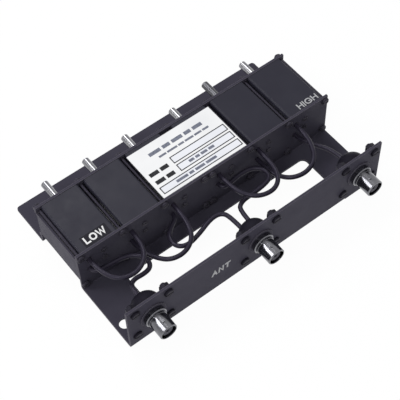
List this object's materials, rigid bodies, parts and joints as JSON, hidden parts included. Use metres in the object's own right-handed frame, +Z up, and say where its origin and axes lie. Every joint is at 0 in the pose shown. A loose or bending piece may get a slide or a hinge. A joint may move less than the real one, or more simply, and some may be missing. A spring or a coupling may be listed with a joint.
{
  "type": "cavity duplexer",
  "caption": "Cavity duplexer: square resonator tubes clamped between two folded black brackets, with tuning rods, coaxial jacks on a front panel and short coaxial jumpers.",
  "frame": {"origin": "centre of the bounding box's footprint, at the underside of the brackets' floors", "axes": "+X from the low port to the high port, +Y from the jacks to the tuning rods, +Z up"},
  "size_m": [0.18, 0.1308, 0.0365],
  "materials": {
    "black_paint": "semi-gloss black enamel on folded steel",
    "black_tube": "satin black enamel on brass tube",
    "silver_brass": "silver-plated",
    "bright_rod": "bright plated rod",
    "brass": "turned, bright",
    "copper": "drawn wire",
    "bright_nickel": "bright nickel plate",
    "dark_zinc": "blackened zinc plate",
    "gold": "gold-plated",
    "dark_insulator": "dark grey insulating plastic",
    "black_hood": "black enamel on drawn brass",
    "cable_jacket": "black cable jacket",
    "white_label": "white enamelled plate"
  },
  "bodies": {
    "chassis": {"front_bracket": "black_paint", "rear_bracket": "black_paint", "nameplate": "white_label", "centre_contacts": "gold", "jack_nuts": "bright_nickel", "jack_washers": "dark_zinc", "hood_screws": "dark_zinc", "hood_nuts": "dark_zinc", "tie_screws": "dark_zinc", "tie_nuts": "dark_zinc", "post_screws": "dark_zinc", "rod_lock_nuts": "dark_zinc", "cavity_tube_1": "black_tube", "centre_conductor_1": "silver_brass", "rod_bush_1": "brass", "coupling_loop_1": "copper", "cavity_tube_2": "black_tube", "centre_conductor_2": "silver_brass", "rod_bush_2": "brass", "coupling_loop_2": "copper", "cavity_tube_3": "black_tube", "centre_conductor_3": "silver_brass", "rod_bush_3": "brass", "coupling_loop_3": "copper", "cavity_tube_4": "black_tube", "centre_conductor_4": "silver_brass", "rod_bush_4": "brass", "coupling_loop_4": "copper", "cavity_tube_5": "black_tube", "centre_conductor_5": "silver_brass", "rod_bush_5": "brass", "coupling_loop_5": "copper", "cavity_tube_6": "black_tube", "centre_conductor_6": "silver_brass", "rod_bush_6": "brass", "coupling_loop_6": "copper", "low_jack": "bright_nickel", "low_insulator": "dark_insulator", "low_hood": "black_hood", "antenna_jack": "bright_nickel", "antenna_insulator": "dark_insulator", "antenna_hood": "black_hood", "high_jack": "bright_nickel", "high_insulator": "dark_insulator", "high_hood": "black_hood", "jumper_cavity_1_to_2": "cable_jacket", "jumper_cavity_2_to_3": "cable_jacket", "jumper_cavity_3_to_antenna": "cable_jacket", "jumper_antenna_to_cavity_4": "cable_jacket", "jumper_cavity_4_to_5": "cable_jacket", "jumper_cavity_5_to_6": "cable_jacket", "jumper_cavity_6_to_high": "cable_jacket", "jumper_low_to_cavity_1": "cable_jacket"},
    "tuning_rod_1": {"tuning_rod_1": "bright_rod"},
    "tuning_rod_2": {"tuning_rod_2": "bright_rod"},
    "tuning_rod_3": {"tuning_rod_3": "bright_rod"},
    "tuning_rod_4": {"tuning_rod_4": "bright_rod"},
    "tuning_rod_5": {"tuning_rod_5": "bright_rod"},
    "tuning_rod_6": {"tuning_rod_6": "bright_rod"}
  },
  "joints": [
    {"name": "rod_1_slide", "type": "slide", "parent": "chassis", "child": "tuning_rod_1", "axis": [0, 1, 0], "range_m": [-0.008, 0.004]},
    {"name": "rod_2_slide", "type": "slide", "parent": "chassis", "child": "tuning_rod_2", "axis": [0, 1, 0], "range_m": [-0.008, 0.004]},
    {"name": "rod_3_slide", "type": "slide", "parent": "chassis", "child": "tuning_rod_3", "axis": [0, 1, 0], "range_m": [-0.008, 0.004]},
    {"name": "rod_4_slide", "type": "slide", "parent": "chassis", "child": "tuning_rod_4", "axis": [0, 1, 0], "range_m": [-0.008, 0.004]},
    {"name": "rod_5_slide", "type": "slide", "parent": "chassis", "child": "tuning_rod_5", "axis": [0, 1, 0], "range_m": [-0.008, 0.004]},
    {"name": "rod_6_slide", "type": "slide", "parent": "chassis", "child": "tuning_rod_6", "axis": [0, 1, 0], "range_m": [-0.008, 0.004]}
  ]
}
